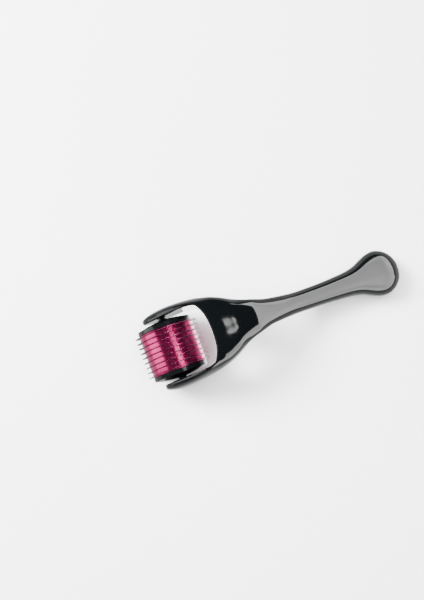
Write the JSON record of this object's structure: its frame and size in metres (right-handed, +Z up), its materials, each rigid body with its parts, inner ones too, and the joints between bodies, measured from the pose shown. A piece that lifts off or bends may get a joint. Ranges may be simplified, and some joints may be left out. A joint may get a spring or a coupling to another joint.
{
  "type": "derma roller",
  "caption": "Hand-held derma roller: a free-spinning drum of stacked steel needle discs and plastic rings between domed caps, carried in the fork of a curved, hollow two-shell handle.",
  "frame": {"origin": "on the surface it rests on, under the middle of the object's length and width", "axes": "+X from the drum back along the handle to the bulb, +Y along the drum's axle, +Z up"},
  "size_m": [0.1211, 0.0363, 0.0364],
  "materials": {
    "handle_plastic": "high-gloss moulded black",
    "cap_plastic": "gloss moulded black",
    "ring_plastic": "gloss moulded magenta pink",
    "needle_steel": "etched stainless sheet",
    "core_plastic": "moulded black"
  },
  "bodies": {
    "handle": {"handle_top_shell": "handle_plastic", "handle_bottom_shell": "handle_plastic"},
    "roller": {"end_cap_left": "cap_plastic", "end_cap_right": "cap_plastic", "end_ring_left": "ring_plastic", "end_ring_right": "ring_plastic", "spacer_ring_1": "ring_plastic", "spacer_ring_2": "ring_plastic", "spacer_ring_3": "ring_plastic", "spacer_ring_4": "ring_plastic", "spacer_ring_5": "ring_plastic", "spacer_ring_6": "ring_plastic", "spacer_ring_7": "ring_plastic", "spacer_ring_8": "ring_plastic", "needle_disc_1": "needle_steel", "needle_disc_2": "needle_steel", "needle_disc_3": "needle_steel", "needle_disc_4": "needle_steel", "needle_disc_5": "needle_steel", "needle_disc_6": "needle_steel", "needle_disc_7": "needle_steel", "needle_disc_8": "needle_steel", "needle_disc_9": "needle_steel", "core_shaft": "core_plastic"}
  },
  "joints": [
    {"name": "roller_spin", "type": "hinge", "parent": "handle", "child": "roller", "pos_m": [-0.0466, 0, 0.014], "axis": [0, 1, 0], "continuous": true}
  ]
}
